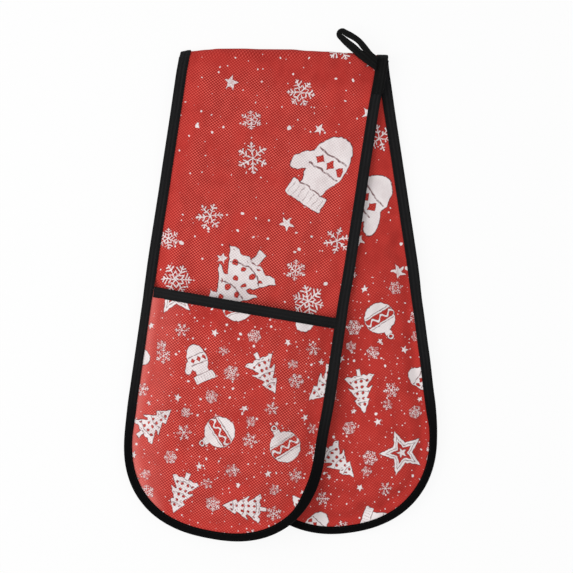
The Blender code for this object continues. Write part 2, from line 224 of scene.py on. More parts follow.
class Leg:
    """One leg of the strip.  Places on it are across it and along it from the crease's middle,
    and offsets from the middle of its strap are positive on its pocket's side."""

    def __init__(self, name, side):
        self.name, self.side = name, side
        self.mouth = POCKET_MOUTH - AXIS_HEIGHT
        self.end_start = LEG_LENGTHS[name] - AXIS_HEIGHT - END_DEPTH
        self.power = 2 / END_SQUARENESS[name]
        _, along, _, run = self.grid([0.0], 2, END_PROBE_ROWS)
        self.run_round = float(run[-1, 0] + along[-1, 0])

    def turned(self, first, second):
        """Takes a place on the leg, across and along, to one in plan, x and y, or back: the splay
        is a reflection, which undoes itself."""
        c, s = math.cos(SPLAY), self.side * math.sin(SPLAY)
        return first * c - second * s, -first * s - second * c

    def crease_row(self, across):
        """Place along the leg of the crease, which crosses it askew."""
        return -self.side * across * math.tan(SPLAY)

    def mouth_row(self, across):
        return self.mouth + across * math.tan(MOUTH_SLANT)

    def rise(self, along):
        """Share by which the strap has risen from its place at the fold to lie over its pocket."""
        return smooth((along - RAMP_START) / (self.mouth - RAMP_START))

    def grid(self, insets, rows, end_rows, start=None):
        """Places across, along and in from the outline, and the run along that outline.

        Rows go down the left side, round the end as a superellipse and up the right side.  Each
        row goes straight in from its place on the outline to one on the spine, by the insets.
        The run is the place along the leg, on the left side, and carries on round the end.
        """
        start = start or self.crease_row
        down = np.linspace(0, 1, rows)
        turn = np.linspace(0, math.pi, end_rows + 2)[1:-1]
        reach = squared(np.cos(turn), self.power)
        edge_across = HALF_WIDTH * np.concatenate([0 * down - 1, -reach, 0 * down + 1])
        left, middle, right = (
            mix(start(place), self.end_start, down) for place in (-HALF_WIDTH, 0.0, HALF_WIDTH)
        )
        end = END_DEPTH * np.sin(turn) ** self.power
        edge_along = np.concatenate([left, self.end_start + end, right[::-1]])
        spine_along = np.concatenate([middle, self.end_start + 0 * end, middle[::-1]])
        steps = np.hypot(np.diff(edge_across), np.diff(edge_along))
        run = edge_along[0] + np.concatenate([[0], np.cumsum(steps)])[:, None]
        inset = np.asarray(insets, float)
        share = inset / HALF_WIDTH
        across = edge_across[:, None] * (1 - share)
        along = mix(edge_along[:, None], spine_along[:, None], share)
        return np.broadcast_arrays(across, along, inset, run)

    def run_at(self, across, along):
        """Run along the outline of a place beside a straight side."""
        return np.where(across < 0, along, self.run_round - along)

    def middle(self, x, y, along, inset, run):
        """Height of the middle of the strap, with an unevenness that both legs share."""
        lift = LIFT * (1 + waves(x, y, LIFT_LENGTH, LIFT_SEED)) / 2
        lift = lift + RIPPLE * (1 + waves(x, y, RIPPLE_LENGTH, RIPPLE_SEED)) / 2
        settled = smooth((-y - SETTLE_START) / SETTLE_LENGTH)
        if self.side < 0:
            return lift * settled + back_middle(along, inset, run)
        return lift * settled + crumple(x, y) + front_middle(x, y, settled)

    def points(self, across, along, inset, run, offset):
        """World places: the leg lies a little askew, and is wider at the fold than lower down."""
        x, y = self.turned(across, along)
        z = self.middle(x, y, along, inset, run) + self.side * offset
        wider = eased(-y, DOWN_PLACES, WIDER) * across / HALF_WIDTH
        lean = eased(-y, DOWN_PLACES, LEANS[self.name])
        return CREASE + points_of(x + wider + lean, y, z)


def crumple(x, y):
    """Height of the one soft crease that stands over the left end of the front pocket's mouth."""
    x, y = x - CRUMPLE_PLACE[0], y - CRUMPLE_PLACE[1]
    c, s = math.cos(CRUMPLE_HEADING), math.sin(CRUMPLE_HEADING)
    long, wide = (x * c + y * s) / CRUMPLE_SPAN[0], (y * c - x * s) / CRUMPLE_SPAN[1]
    return CRUMPLE * np.exp(-(long**2) - wide**2)


def back_middle(along, inset, run):
    """The back strap lies on the table and rises over its own pocket, whose cover lies on the
    table but for its bound edge and mouth."""
    mouth_end = BACK.mouth_row(HALF_WIDTH) + MOUTH_TAPE_WIDTH
    down = smooth((inset - SWELL_START) / TURN_DOWN) * smooth((along - mouth_end) / TURN_DOWN)
    over_pocket = pocket_outside(inset, run) + HELD_UP * (1 - down)
    return mix(FULL_HALF, over_pocket, BACK.rise(along))


def front_middle(x, y, settled):
    """The front strap lies over the back leg, and drapes past that leg's left edge to the table."""
    across, along = BACK.turned(x, y)
    highest = float(pocket_outside(HALF_WIDTH, 0.0)) + HELD_UP
    top = mix(FULL_HALF, highest, BACK.rise(along)) + FULL_HALF + LEG_GAP
    edge_height = mix(FULL_HALF, BOUND_POCKET + HELD_UP, BACK.rise(along))
    shoulder = edge_height + BOUND_HALF + TAPE_STEP + LEG_GAP
    over = HALF_WIDTH + DRAPE_SHOULDER_REACH
    on_top = smooth((across + over) / (over - DRAPE_TOP_INSET))
    on_shoulder = smooth((across + HALF_WIDTH + DRAPE_FOOT_REACH) / DRAPE_FOOT_REACH)
    draped = mix(TABLE_CLEARANCE, shoulder, on_shoulder) + (top - shoulder) * on_top
    return mix(2 * FULL_HALF + CREASE_GAP, draped, settled) + FULL_HALF


FRONT = Leg("front", 1)
BACK = Leg("back", -1)
LEGS = (FRONT, BACK)


def fold_grid(insets):
    """Places across the fold and the turn round it, from straight down to straight up."""
    edge = HALF_WIDTH - np.asarray(insets, float)
    across = np.concatenate([-edge, edge[::-1][1:]])
    turn = np.linspace(0, math.pi, FOLD_STEPS + 1)[:, None]
    return np.broadcast_arrays(across, HALF_WIDTH - np.abs(across), turn)


def fold_points(across, radius, turn):
    """A half ellipse of each radius round the crease, whose reach is crowned across the glove,
    and whose left corner is drawn in by its tape."""
    out = np.sin(turn)
    x = across / math.cos(SPLAY) + WIDER[0] * across / HALF_WIDTH + LEANS["front"][0]
    x = x + CORNER_PULL * out * (2 - out) * smooth(-across / HALF_WIDTH)
    y = radius * out * eased(across, CROWN_PLACES, CROWN)
    z = AXIS_HEIGHT - radius * np.cos(turn)
    return CREASE + points_of(x, y, z)


def add_object(name, data):
    made = bpy.data.objects.new(name, data)
    bpy.context.scene.collection.objects.link(made)
    return made


def mesh_object(name, points, faces, place, finish):
    """Object of a closed mesh, named sewn_ and the name, its doubles merged and facing out.

    The place of each point on the cloth, in metres, is kept as the attribute cloth.
    """
    mesh = bpy.data.meshes.new(name)
    mesh.from_pydata(points.reshape(-1, 3).tolist(), [], faces)
    kept = mesh.attributes.new("cloth", "FLOAT_VECTOR", "POINT")
    kept.data.foreach_set("vector", place.astype(np.float32).ravel())
    shape = bmesh.new()
    shape.from_mesh(mesh)
    bmesh.ops.remove_doubles(shape, verts=shape.verts[:], dist=MERGE_DISTANCE)
    bmesh.ops.recalc_face_normals(shape, faces=shape.faces[:])
    shape.to_mesh(mesh)
    shape.free()
    mesh.materials.append(finish)
    mesh.shade_smooth()
    mesh.set_sharp_from_angle(angle=SHARP_ANGLE)
    return add_object("sewn_" + name, mesh)


def quads(rows, columns, start=0, closed=False):
    """Faces of a grid of points, whose columns may close on themselves."""
    row = np.arange(rows - 1)[:, None] * columns + start
    column = np.arange(columns if closed else columns - 1)[None]
    after = (column + 1) % columns
    corners = (row + column, row + after, row + columns + after, row + columns + column)
    return np.stack(corners, axis=-1).reshape(-1, 4)


def slab(name, low, high, place, finish, spine=False):
    """Closed ply between two grids of points, walled along each side but a shared spine."""
    rows, columns = low.shape[:2]
    count = rows * columns
    grid = np.arange(count).reshape(rows, columns)
    rim = np.concatenate([grid[0, ::-1], grid[1:, 0], grid[-1, 1:]])
    if not spine:
        rim = np.concatenate([rim, grid[-2:0:-1, -1]])
    after = np.roll(rim, -1)
    wall = np.stack([rim, after, after + count, rim + count], axis=-1)
    faces = np.concatenate([quads(rows, columns), quads(rows, columns, count)[:, ::-1], wall])
    points = np.concatenate([low.reshape(-1, 3), high.reshape(-1, 3)])
    places = np.concatenate([place.reshape(-1, 3)] * 2)
    return mesh_object(name, points, faces.tolist(), places, finish)


def steps_in(spacing):
    """Insets from the bound edge to the spine, closer together where the padding swells."""
    count = round(HALF_WIDTH / spacing)
    share = np.linspace(0, 1, count + 1)
    return mix(BOUND_INSET, HALF_WIDTH, share * (STEP_SHARES[0] + STEP_SHARES[1] * share))


def seat(piece, body=None):
    """The piece stands for the solid of its name.  It rides on a body or, without one, keeps
    its place with its transform applied."""
    if body:
        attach(piece, body)
    else:
        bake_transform(piece)
    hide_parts(piece.name.removeprefix("sewn_"))


def levels_of(plies, name, level, inset, run):
    """Lower and upper level of one ply, which lies on the plies before it."""
    for ply, full_and_bound in plies.items():
        upper = level + thickness(full_and_bound, inset, run)
        if ply == name:
            return level, upper
        level = upper + PLY_GAP


def on_strip(leg, across, along, inset, arc):
    """Place on the whole unfolded strip: the back leg carries on where the front leg ends."""
    if leg.side < 0:
        across = across - arc * math.sin(SPLAY)
        along = -along - arc * math.cos(SPLAY)
    return points_of(across, along, inset)


def leg_ply(leg, name, spacing, finish):
    """One ply of a leg's strap or pocket, its flat size and its area."""
    on_pocket = name in POCKET_PLIES
    plies = POCKET_PLIES if on_pocket else STRAP_PLIES
    start = leg.mouth_row if on_pocket else leg.crease_row
    rows = round((leg.end_start - (leg.mouth if on_pocket else 0)) / spacing)
    end_rows = round(END_ROWS * HALF_WIDTH / spacing)
    across, along, inset, run = leg.grid(steps_in(spacing), rows, end_rows, start)
    first = pocket_start(inset, run) if on_pocket else -strap_half(inset, run)
    levels = levels_of(plies, name, first, inset, run)
    arc = math.pi * (FOLD_RADIUS + float(levels[0][0, -1]))
    place = on_strip(leg, across, along, inset, arc)
    low, high = (leg.points(across, along, inset, run, level) for level in levels)
    made = slab(f"{leg.name}_{name}", low, high, place, finish, spine=True)
    seat(made, f"{leg.name}_leg")
    x, y = across[:, 0], along[:, 0]
    area = abs(np.sum(x * np.roll(y, -1) - y * np.roll(x, -1))) / 2
    return made, (2 * float(across.max()), float(along.max() - along.min())), float(area)


def fold_ply(name, spacing, finish):
    """The same ply where it turns round the fold, and its flat size."""
    across, inset, turn = fold_grid(steps_in(spacing))
    run = 0 * inset
    levels = levels_of(STRAP_PLIES, name, FOLD_RADIUS - strap_half(inset, run), inset, run)
    own = FRONT.turned(across / math.cos(SPLAY), (math.pi - turn) * levels[0])
    low, high = (fold_points(across, level, turn) for level in levels)
    made = slab(f"fold_{name}", low, high, points_of(*own, inset), finish)
    seat(made)
    return made, (2 * HALF_WIDTH, math.pi * float(levels[0].mean()))


class Socket:
    """A shader socket that takes part in sums: each operator adds one Math node."""

    def __init__(self, tree, end):
        self.tree, self.end = tree, end

    def node(self, kind, settings, inputs, output=0):
        """Adds one node: its settings are set first, then its sockets, by name or place."""
        made = self.tree.nodes.new("ShaderNode" + kind)
        for key, value in settings.items():
            setattr(made, key, value)
        for key, value in inputs.items():
            if isinstance(value, Socket):
                self.tree.links.new(value.end, made.inputs[key])
            else:
                made.inputs[key].default_value = value
        return Socket(self.tree, made.outputs[output])

    def math(self, operation, *others):
        return self.node("Math", {"operation": operation}, dict(enumerate((self, *others))))

    def reflected(self, operation, other):
        return self.node("Math", {"operation": operation}, {0: other, 1: self})

    __add__, __radd__ = partialmethod(math, "ADD"), partialmethod(reflected, "ADD")
    __sub__, __rsub__ = partialmethod(math, "SUBTRACT"), partialmethod(reflected, "SUBTRACT")
    __mul__, __rmul__ = partialmethod(math, "MULTIPLY"), partialmethod(reflected, "MULTIPLY")
    __truediv__, __rtruediv__ = partialmethod(math, "DIVIDE"), partialmethod(reflected, "DIVIDE")
    __pow__, __abs__ = partialmethod(math, "POWER"), partialmethod(math, "ABSOLUTE")
    least, most = partialmethod(math, "MINIMUM"), partialmethod(math, "MAXIMUM")
    sin, cos = partialmethod(math, "SINE"), partialmethod(math, "COSINE")
    floor = partialmethod(math, "FLOOR")

    def __neg__(self):
        return self * -1.0

    def ramp(self, low, high, first=0.0, last=1.0):
        """Smooth step from first at low to last at high."""
        settings = {"interpolation_type": "SMOOTHSTEP"}
        return self.node("MapRange", settings, {0: self, 1: low, 2: high, 3: first, 4: last})

    def blend(self, first, second):
        """Colour that is first where this socket is 0 and second where it is 1."""
        return self.node("Mix", {"data_type": "RGBA"}, {0: self, 6: first, 7: second}, 2)

    def length(self, other):
        return (self * self + other * other) ** 0.5

    def noise(self, scale, detail, output=0):
        """Noise of a scale, at this place."""
        return self.node("TexNoise", {}, {"Vector": self, "Scale": scale, "Detail": detail}, output)

    def parts(self, kind, count=3):
        """The first parts of a colour or a place, each as a socket."""
        return [self.node("Separate" + kind, {}, {0: self}, part) for part in range(count)]


class Shape:
    """A printed shape as a node group: made once from a function of sockets, and used by each
    print.  It turns a place and a number into distances from the shape's edges."""

    def __init__(self, draw):
        self.group = bpy.data.node_groups.new(draw.__name__, "ShaderNodeTree")
        for name in ("x", "y", "number"):
            self.add_end(name, "INPUT")
        start = self.group.nodes.new("NodeGroupInput")
        found = draw(*(Socket(self.group, end) for end in start.outputs[:3]))
        for place in range(len(found)):
            self.add_end(f"distance_{place}", "OUTPUT")
        finish = self.group.nodes.new("NodeGroupOutput")
        for value, end in zip(found, finish.inputs):
            self.group.links.new(value.end, end)

    def add_end(self, name, way):
        self.group.interface.new_socket(name, in_out=way, socket_type="NodeSocketFloat")

    def __call__(self, x, y, number):
        used = x.node("Group", {"node_tree": self.group}, {0: x, 1: y, 2: number}).end.node
        return [Socket(x.tree, end) for end in used.outputs]


def colour(red, green, blue):
    """Linear colour of a screen colour, from 0 to 255."""
    share = np.array([red, green, blue]) / 255
    linear = np.where(share <= 0.04045, share / 12.92, ((share + 0.055) / 1.055) ** 2.4)
    return (*linear.tolist(), 1.0)


def begin_finish(name, tint, roughness, **fixed):
    """New material, its shader with what is the same all over, and the place on the cloth."""
    material = bpy.data.materials.new(name)
    material.use_nodes = True
    material.diffuse_color = tint
    tree = material.node_tree
    shader = tree.nodes["Principled BSDF"]
    shader.inputs["Base Color"].default_value = tint
    shader.inputs["Roughness"].default_value = roughness
    for key, value in fixed.items():
        shader.inputs[key.replace("_", " ")].default_value = value
    root = Socket(tree, None)
    place = root.node("Attribute", {"attribute_name": "cloth"}, {}, "Vector")
    return material, shader, place, *place.parts("XYZ")


def woven(first, second, lift):
    """Height of a plain weave from the waves of its two threads, and how far one is on top."""
    over = first * second
    return (abs(first) + over * lift).most(abs(second) - over * lift), over


def feed(shader, name, value):
    value.tree.links.new(value.end, shader.inputs[name])


def bump(height, distance):
    """Normal of a surface raised by a height of 0 to 1 times a distance."""
    return height.node("Bump", {}, {"Strength": 1.0, "Distance": distance, "Height": height})


def felt_finish():
    """Needled wadding: pale matted fibres, uneven in tone, with small pits."""
    felt, shader, place, *_ = begin_finish("needled_wadding", colour(232, 230, 222), 0.95)
    fibre = place.node("TexNoise", {}, {"Vector": place, "Scale": 900.0, "Detail": 4.0, "Distortion": 1.5})
    pits = place.node("TexVoronoi", {"voronoi_dimensions": "2D"}, {"Vector": place, "Scale": 260.0})
    tone = fibre.ramp(0.3, 0.7) * 0.6 + pits.ramp(0.1, 0.6) * 0.4
    feed(shader, "Base Color", tone.blend(colour(206, 203, 193), colour(240, 239, 233)))
    feed(shader, "Normal", bump(fibre + pits * 0.5, 0.0006))
    return felt


felt = felt_finish()
WADDING_SPACING = 0.0040
for leg in LEGS:
    wad, _, _ = leg_ply(leg, "wadding", WADDING_SPACING, felt)
wad, _ = fold_ply("wadding", WADDING_SPACING, felt)

# Printed covers of the strip
# A woven red polyester cloth, printed with white winter shapes, covers both faces of the strip.
# Each cover is one length, cut in three here: a front, a back, and a strip that turns at the fold.

CLOTH_SPACING = 0.0021
WARP_PITCH = 0.00145
WEFT_PITCH = 0.00128
RED = np.array([184, 50, 44])
RED_LIGHT = np.array([236, 106, 95])
RED_DARK = np.array([124, 16, 14])
# Pale red of the painted highlight along the pocket's left edge
RED_PAINTED_HIGHLIGHT = colour(252, 150, 142)
WHITE = colour(234, 226, 226)
WHITE_DARK = colour(190, 172, 173)
MAROON = colour(92, 26, 32)
# Share of the inner cover's reds: below 1 it darkens them as painted shade
INNER_PAINTED_SHADE = 0.99
STRAP_PERIOD = 0.116
SMALL_PERIOD = 0.058
SMALL_FROM = 0.205
EDGE_BLUR = 0.00022
LINE_HALF = 0.00036
STAR_POINTS = 5
STAR_WAIST = 0.45
FLAKE_STROKE = 0.042
FLAKE_TWIGS = ((0.34, 0.30), (0.60, 0.34), (0.82, 0.16))


def lattice(place, x, y, period, shift, seed):
    """Place in one cell of a brick-laid lattice, in periods from the cell's middle, with three
    random numbers of that cell and the cell's own place along y in metres."""
    v = y / period + (shift[1] + 0.5)
    row = v.floor()
    u = x / period + row * 0.5 + (shift[0] + 0.5)
    column = u.floor()
    cell = place.node("CombineXYZ", {}, {0: column + seed, 1: row + seed * 1.7, 2: 0.0})
    draw = place.node("TexWhiteNoise", {"noise_dimensions": "2D"}, {"Vector": cell}, "Color")
    return u - column - 0.5, v - row - 0.5, draw.parts("Color"), (row - shift[1]) * period


def turned(x, y, angle):
    """Place turned by an angle."""
    c, s = angle.cos(), angle.sin()
    return x * c + y * s, y * c - x * s


@Shape
def bauble(x, y, _):
    """Ball with a cap and a ring.  Its middle band is left red round a white zigzag, between two
    inked lines."""
    ball = x.length(y + 0.12) - 0.66
    cap = (abs(x) - 0.15).most(abs(y - 0.60) - 0.09)
    ring = abs(x.length(y - 0.80) - 0.10) - 0.035
    zigzag = abs(y + 0.12 - (x * 15.0).sin() * 0.09) - 0.055
    band = (abs(y + 0.12) - 0.19).most(-zigzag).most(ball + 0.03)
    lines = (abs(abs(y + 0.12) - 0.27) - 0.016).most(ball + 0.05)
    return ball.least(cap).least(ring), lines, band


@Shape
def fir_tree(x, y, _):
    """Three tiers with scalloped hems over a trunk.  Each tier has an inked garland, and small
    balls are left red all over."""
    hem = (x * 19.0).cos() * 0.035
    shape, garlands = (abs(x) - 0.09).most(abs(y + 0.78) - 0.16), []
    for top, base, half in ((0.98, 0.36, 0.36), (0.62, -0.12, 0.52), (0.20, -0.64, 0.68)):
        lean = half / (top - base)
        tier = ((abs(x) + (y - top) * lean) / math.hypot(1, lean)).most(base - y + hem)
        garlands.append((abs(y - x * x * 0.9 - (base + 0.14)) - 0.016).most(tier + 0.03))
        shape = shape.least(tier)
    beside = (x + 2.12).math("PINGPONG", 0.24) - 0.12
    above = (y + 2.02).math("PINGPONG", 0.25) - 0.12
    balls = (beside.length(above) - 0.060).most(shape + 0.07)
    return shape, reduce(Socket.least, garlands), balls


@Shape
def mitten(x, y, _):
    """Hand with a thumb and a rolled cuff.  Its ink is the cuff's ribs and two stripes, and a
    row of diamonds between the stripes is left red."""
    hand = ((x / 0.42).length((y - 0.20) / 0.66) - 1.0) * 0.46
    thumb_x, thumb_y = (x - 0.44) * 0.80 + (y - 0.02) * 0.60, (y - 0.02) * 0.80 - (x - 0.44) * 0.60
    thumb = ((thumb_x / 0.17).length(thumb_y / 0.36) - 1.0) * 0.19
    wrist = (abs(x) - 0.28).most(abs(y + 0.34) - 0.18)
    cuff = (abs(x) - 0.38).most(0.0).length((abs(y + 0.62) - 0.12).most(0.0)) - 0.06
    ribs = (abs((x * 26.0).sin()) * 0.08 - 0.018).most(cuff + 0.06)
    stripes = (abs(abs(y - 0.20) - 0.19) - 0.018).most(hand + 0.05)
    cuff_line = (abs(cuff) - 0.016).most(hand.least(wrist))
    beside = (x + 2.13).math("PINGPONG", 0.13)
    diamonds = (beside + abs(y - 0.20) * 0.9 - 0.105).most(hand + 0.06)
    return hand.least(thumb).least(wrist).least(cuff), ribs.least(stripes).least(cuff_line), diamonds


@Shape
def star(x, y, _):
    """Star by folding the plane round its middle, with an inked line and a red band inside."""
    wedge = 2 * math.pi / STAR_POINTS
    angle = x.math("ARCTAN2", y)
    folded = abs((angle + 3 * wedge).math("PINGPONG", wedge / 2))
    reach = x.length(y)
    px, py = reach * folded.cos(), reach * folded.sin()
    inner = (STAR_WAIST * math.cos(wedge / 2), STAR_WAIST * math.sin(wedge / 2))
    edge = (inner[0] - 1, inner[1])
    size = math.hypot(*edge)
    away = (px - 1) * (edge[1] / size) + py * (-edge[0] / size)
    return away, abs(away + 0.11) - 0.014, abs(away + 0.24) - 0.050


@Shape
def snowflake(x, y, number):
    """Six arms with three pairs of side twigs, whose places and lengths vary with a number."""
    angle = y.math("ARCTAN2", x)
    folded = (angle + 2 * math.pi).math("PINGPONG", math.pi / 6)
    reach = x.length(y)
    px, py = reach * folded.cos(), reach * folded.sin()
    shape = (py - FLAKE_STROKE).most(px - 1.0)
    for at, long in FLAKE_TWIGS:
        bx = px - (at + (number - 0.5) * 0.16)
        out = bx * math.cos(math.pi / 3) + py * math.sin(math.pi / 3)
        off = abs(py * math.cos(math.pi / 3) - bx * math.sin(math.pi / 3)) - FLAKE_STROKE
        shape = shape.least(off.most(-out).most(out - (long + (0.5 - number) * 0.2)))
    return (shape,)


def inside(distance, blur=EDGE_BLUR):
    """1 where a distance is negative, 0 where it is positive, with a soft edge."""
    return distance.ramp(-blur, blur, 1.0, 0.0)


def unsteady(place, x, y, scale):
    """Place moved about by a slow noise and a fine one, as a hand draws: two of the noise's
    channels, less their mean, times a length."""
    for pitch, length in ((105.0 / scale, 0.0042 * scale), (430.0, 0.0008 * scale), (1700.0, 0.00034)):
        beside, above = place.noise(pitch, 1.0, "Color").parts("Color", 2)
        x, y = x + (beside - 0.5) * length, y + (above - 0.5) * length
    return x, y


def print_layer(place, x, y, period, seed, kept, keep=None):
    """White share and ink share of a winter print whose big shapes repeat about each period.

    Baubles, fir trees, mittens and stars take turns on one brick lattice, where a share of the
    places is kept; snowflakes, small stars and dots stand between them.  Keep is 1 on the rows
    that carry this layer and 0 on the others.
    """
    scale = period / STRAP_PERIOD
    x, y = unsteady(place, x, y, scale)
    line = LINE_HALF * (0.6 + scale * 0.4)
    worn = place.noise(330.0, 2.0).ramp(0.34, 0.56)

    u, v, draw, row = lattice(place, x, y, period, (0.08, 0.21), seed)
    u, v = turned(u + (draw[1] - 0.5) * 0.10, v + (draw[2] - 0.5) * 0.06, (draw[1] + draw[2] * 3.0) * 6.3)
    size = 0.355
    u, v = u / size, v / size
    pick = draw[0]
    shape, ink, hole = bauble(u, v, pick)
    for least, other in ((0.27, fir_tree), (0.54, mitten), (0.80, star)):
        chosen = pick.math("GREATER_THAN", least)
        found = zip((shape, ink, hole), other(u, v, pick))
        shape, ink, hole = (old + (new - old) * chosen for old, new in found)
    metre = size * period
    missing = draw[1].math("GREATER_THAN", kept)
    shape, ink, hole = shape * metre + missing, ink * metre, hole * metre
    if keep:
        shape = shape + (1 - keep(row))
    clear = shape
    white = inside(shape)
    lines = inside(ink.least(abs(hole) - line * 0.6)) * white * (0.45 + worn * 0.55)
    white = white * (1 - inside(hole))
    rim = inside(abs(shape) - line) * (0.35 + worn * 0.65)

    for shift, size, kind in (((0.58, 0.21), 0.120, snowflake), ((0.33, 0.71), 0.105, snowflake),
                              ((0.83, 0.71), 0.060, star), ((0.20, 0.47), 0.045, star),
                              ((0.66, 0.46), 0.080, snowflake)):
        seed += 3.0
        u, v, draw, row = lattice(place, x, y, period, shift, seed)
        u, v = turned(u + (draw[0] - 0.5) * 0.12, v + (draw[1] - 0.5) * 0.12, draw[2] * 6.3)
        u, v = u / size, v / size
        shape = kind(u, v, draw[0])[0] * (size * period)
        room = clear.ramp(0.0, 0.004 * scale)
        if keep:
            room = room * keep(row)
        spot = inside(shape + (1 - worn) * 0.0002) * room * (0.75 + worn * 0.25)
        white = white.most(spot)
        rim = rim.most(inside(abs(shape - line) - line * 0.6) * room * (1 - spot) * 0.60 * worn)

    moved = place.node("CombineXYZ", {}, {0: x, 1: y, 2: 0.0})
    for pitch, radius in ((0.026, 0.0019), (0.0125, 0.0010)):
        seed += 5.0
        lot = place.node("Mapping", {}, {"Vector": moved, 1: (seed, seed * 0.37, 0.0)})
        settings = {"voronoi_dimensions": "2D"}
        inputs = {"Vector": lot, "Scale": 1 / (pitch * scale), "Randomness": 0.9}
        away = place.node("TexVoronoi", settings, inputs, "Distance") * (pitch * scale)
        tint = place.node("TexVoronoi", settings, inputs, "Color")
        share = tint.parts("Color", 1)[0]
        spot = inside(away - share * share * (radius * (0.3 + 0.7 * scale)))
        spot = spot * clear.ramp(0.0, 0.003 * scale)
        if keep:
            spot = spot * keep(y)
        white = white.most(spot)
    return white, lines, rim * (1 - lines)


def printed_finish(name, layers, weave_share=1.0, painted_shade_factor=1.0, quiet=0.0, wear_and_highlight=0.0):
    """Plain-woven red cloth with print: weave in colour and relief, which fades near pinched
    edges, near the fold and near the quiet place along the strip.  The red is darker near the
    fold and near the quiet place as painted shade, paler along the left edge as a painted
    highlight, and darker all over as painted shade where the shade factor is below 1."""
    # The reds are scaled by a factor which, below 1, is painted shade
    red_tint, red_light, red_dark = (colour(*(tone * painted_shade_factor)) for tone in (RED, RED_LIGHT, RED_DARK))
    cloth, shader, place, x, y, inset = begin_finish(
        name, red_tint, 0.80, Sheen_Weight=0.02, Specular_IOR_Level=0.14
    )
    sx, sy = (x * (math.pi / WARP_PITCH)).sin(), (y * (math.pi / WEFT_PITCH)).sin()
    weave, over = woven(sx, sy, 0.55)
    slow, patch = place.noise(26.0, 2.0), place.noise(62.0, 2.0)
    taut_and_shaded = abs(y - quiet).ramp(0.006, 0.030, 1.0, 0.0)
    near = inset.ramp(0.010, 0.034, 0.40, 1.0) * (1 - taut_and_shaded * 0.5)
    depth = near * slow.ramp(0.30, 0.60, 0.45, 1.0) * weave_share
    light = over * 0.5 * depth
    gap = weave.ramp(0.25, 0.75, 1.0, 0.0) * depth
    red = (light.most(0.0) * 3.0).blend(red_tint, red_light)
    red = (light.least(0.0) * -3.0).blend(red, red_dark)
    # Darker patches at random, and painted shade that darkens the red near the fold and near the quiet place
    red = (patch.ramp(0.35, 0.7) * 0.22 + taut_and_shaded * 0.16).blend(red, red_dark)
    # Painted highlight: the red turns paler near the left edge, where light falls on the slope
    if wear_and_highlight:
        highlight_near_edge = inset.ramp(0.007, 0.018, wear_and_highlight, wear_and_highlight * 0.25) * inset.ramp(0.017, 0.050, 1.0, 0.0)
        red = (highlight_near_edge * x.ramp(-0.060, -0.040, 1.0, 0.0)).blend(red, RED_PAINTED_HIGHLIGHT)
    found = [print_layer(place, x, y, *layer) for layer in layers]
    white, lines, rim = (reduce(Socket.most, shares) for shares in zip(*found))
    ink = (light.least(0.0) * -1.8 + gap * 0.4 + patch.ramp(0.4, 0.75) * 0.3).blend(WHITE, WHITE_DARK)
    tone = (white * (1 - gap * 0.26)).blend(red, ink)
    tone = (lines * 0.85).blend(tone, MAROON)
    tone = (rim * 0.95).blend(tone, MAROON)
    feed(shader, "Base Color", tone)
    fuzz = place.noise(2600.0, 2.0)
    feed(shader, "Normal", bump(weave * (depth * 0.8 + 0.2) + fuzz * 0.25, 0.00022))
    feed(shader, "Roughness", 0.74 + (1 - white) * 0.08 + fuzz * 0.06)
    return cloth


def large_rows(row):
    """1 where a row of the print lies short of the change to small shapes on the back leg."""
    return (row + SMALL_FROM).math("GREATER_THAN", 0.0)


def small_rows(row):
    return 1 - large_rows(row)


outer_print = printed_finish("outer_cover_print", [(STRAP_PERIOD, 11.0, 0.85)])
inner_layers = [(STRAP_PERIOD, 23.0, 0.80, large_rows), (SMALL_PERIOD, 31.0, 0.95, small_rows)]
# The inner cover's reds are darkened a little as painted shade
inner_print = printed_finish("inner_cover_print", inner_layers, 0.30, INNER_PAINTED_SHADE)
for name, finish in (("inner_cover", inner_print), ("outer_cover", outer_print)):
    for leg in LEGS:
        cover, flat, area = leg_ply(leg, name, CLOTH_SPACING, finish)
    cover, flat = fold_ply(name, CLOTH_SPACING, finish)

# Hand pockets
# Each pocket is a cover of the same cloth with a smaller print, a thin wadding and a plain cotton
# lining.  Its three plies are laid on the strip and sewn in under the edge binding.

LINING_PITCH = 0.0006


def lining_finish():
    """Unbleached plain-woven cotton: fine crossing threads and a few slubs."""
    lining, shader, place, x, y, _ = begin_finish("cotton_lining", colour(222, 218, 208), 0.9)
    sx, sy = (x * (math.pi / LINING_PITCH)).sin(), (y * (math.pi / LINING_PITCH)).sin()
    weave, _ = woven(sx, sy, 0.5)
    slub = place.noise(140.0, 3.0)
    tone = weave.ramp(0.2, 0.9) * 0.7 + slub * 0.3
    feed(shader, "Base Color", tone.blend(colour(196, 190, 176), colour(230, 227, 218)))
    feed(shader, "Normal", bump(weave + slub * 0.4, 0.00015))
    return lining


lining = lining_finish()
pocket_layers = [(SMALL_PERIOD, 47.0, 0.95)]
# The pocket cover carries a painted highlight along its left edge
pocket_print = printed_finish("pocket_cover_print", pocket_layers, quiet=POCKET_MOUTH, wear_and_highlight=0.38)
POCKET_FINISHES = {
    "pocket_lining": (lining, "lining", CLOTH_SPACING),
    "pocket_wadding": (felt, "wadding", WADDING_SPACING),
    "pocket_cover": (pocket_print, "printed_cloth", CLOTH_SPACING),
}
for leg in LEGS:
    for name, (finish, slot, spacing) in POCKET_FINISHES.items():
        ply, flat, area = leg_ply(leg, name, spacing, finish)

# Pocket mouth tapes
# A narrow black tape is folded over the free edge of each pocket and stitched through, before
# the pocket is laid on the strip.  Its ends run in under the edge binding.

TAPE_FLAT_STEPS = 11
TAPE_ARC_STEPS = 16
TAPE_STEP_POWER = 0.8
TAPE_SQUARENESS = 3.2
TAPE_CREASES = (0.34, 0.68)
CREASE_HALF = 0.0009
MOUTH_CREASE = 0.00002
STITCH_LINE = 0.0014
STITCH_DIP = 0.00012
TAPE_PITCH = 0.00042
TAPE_TURNS = 0.006


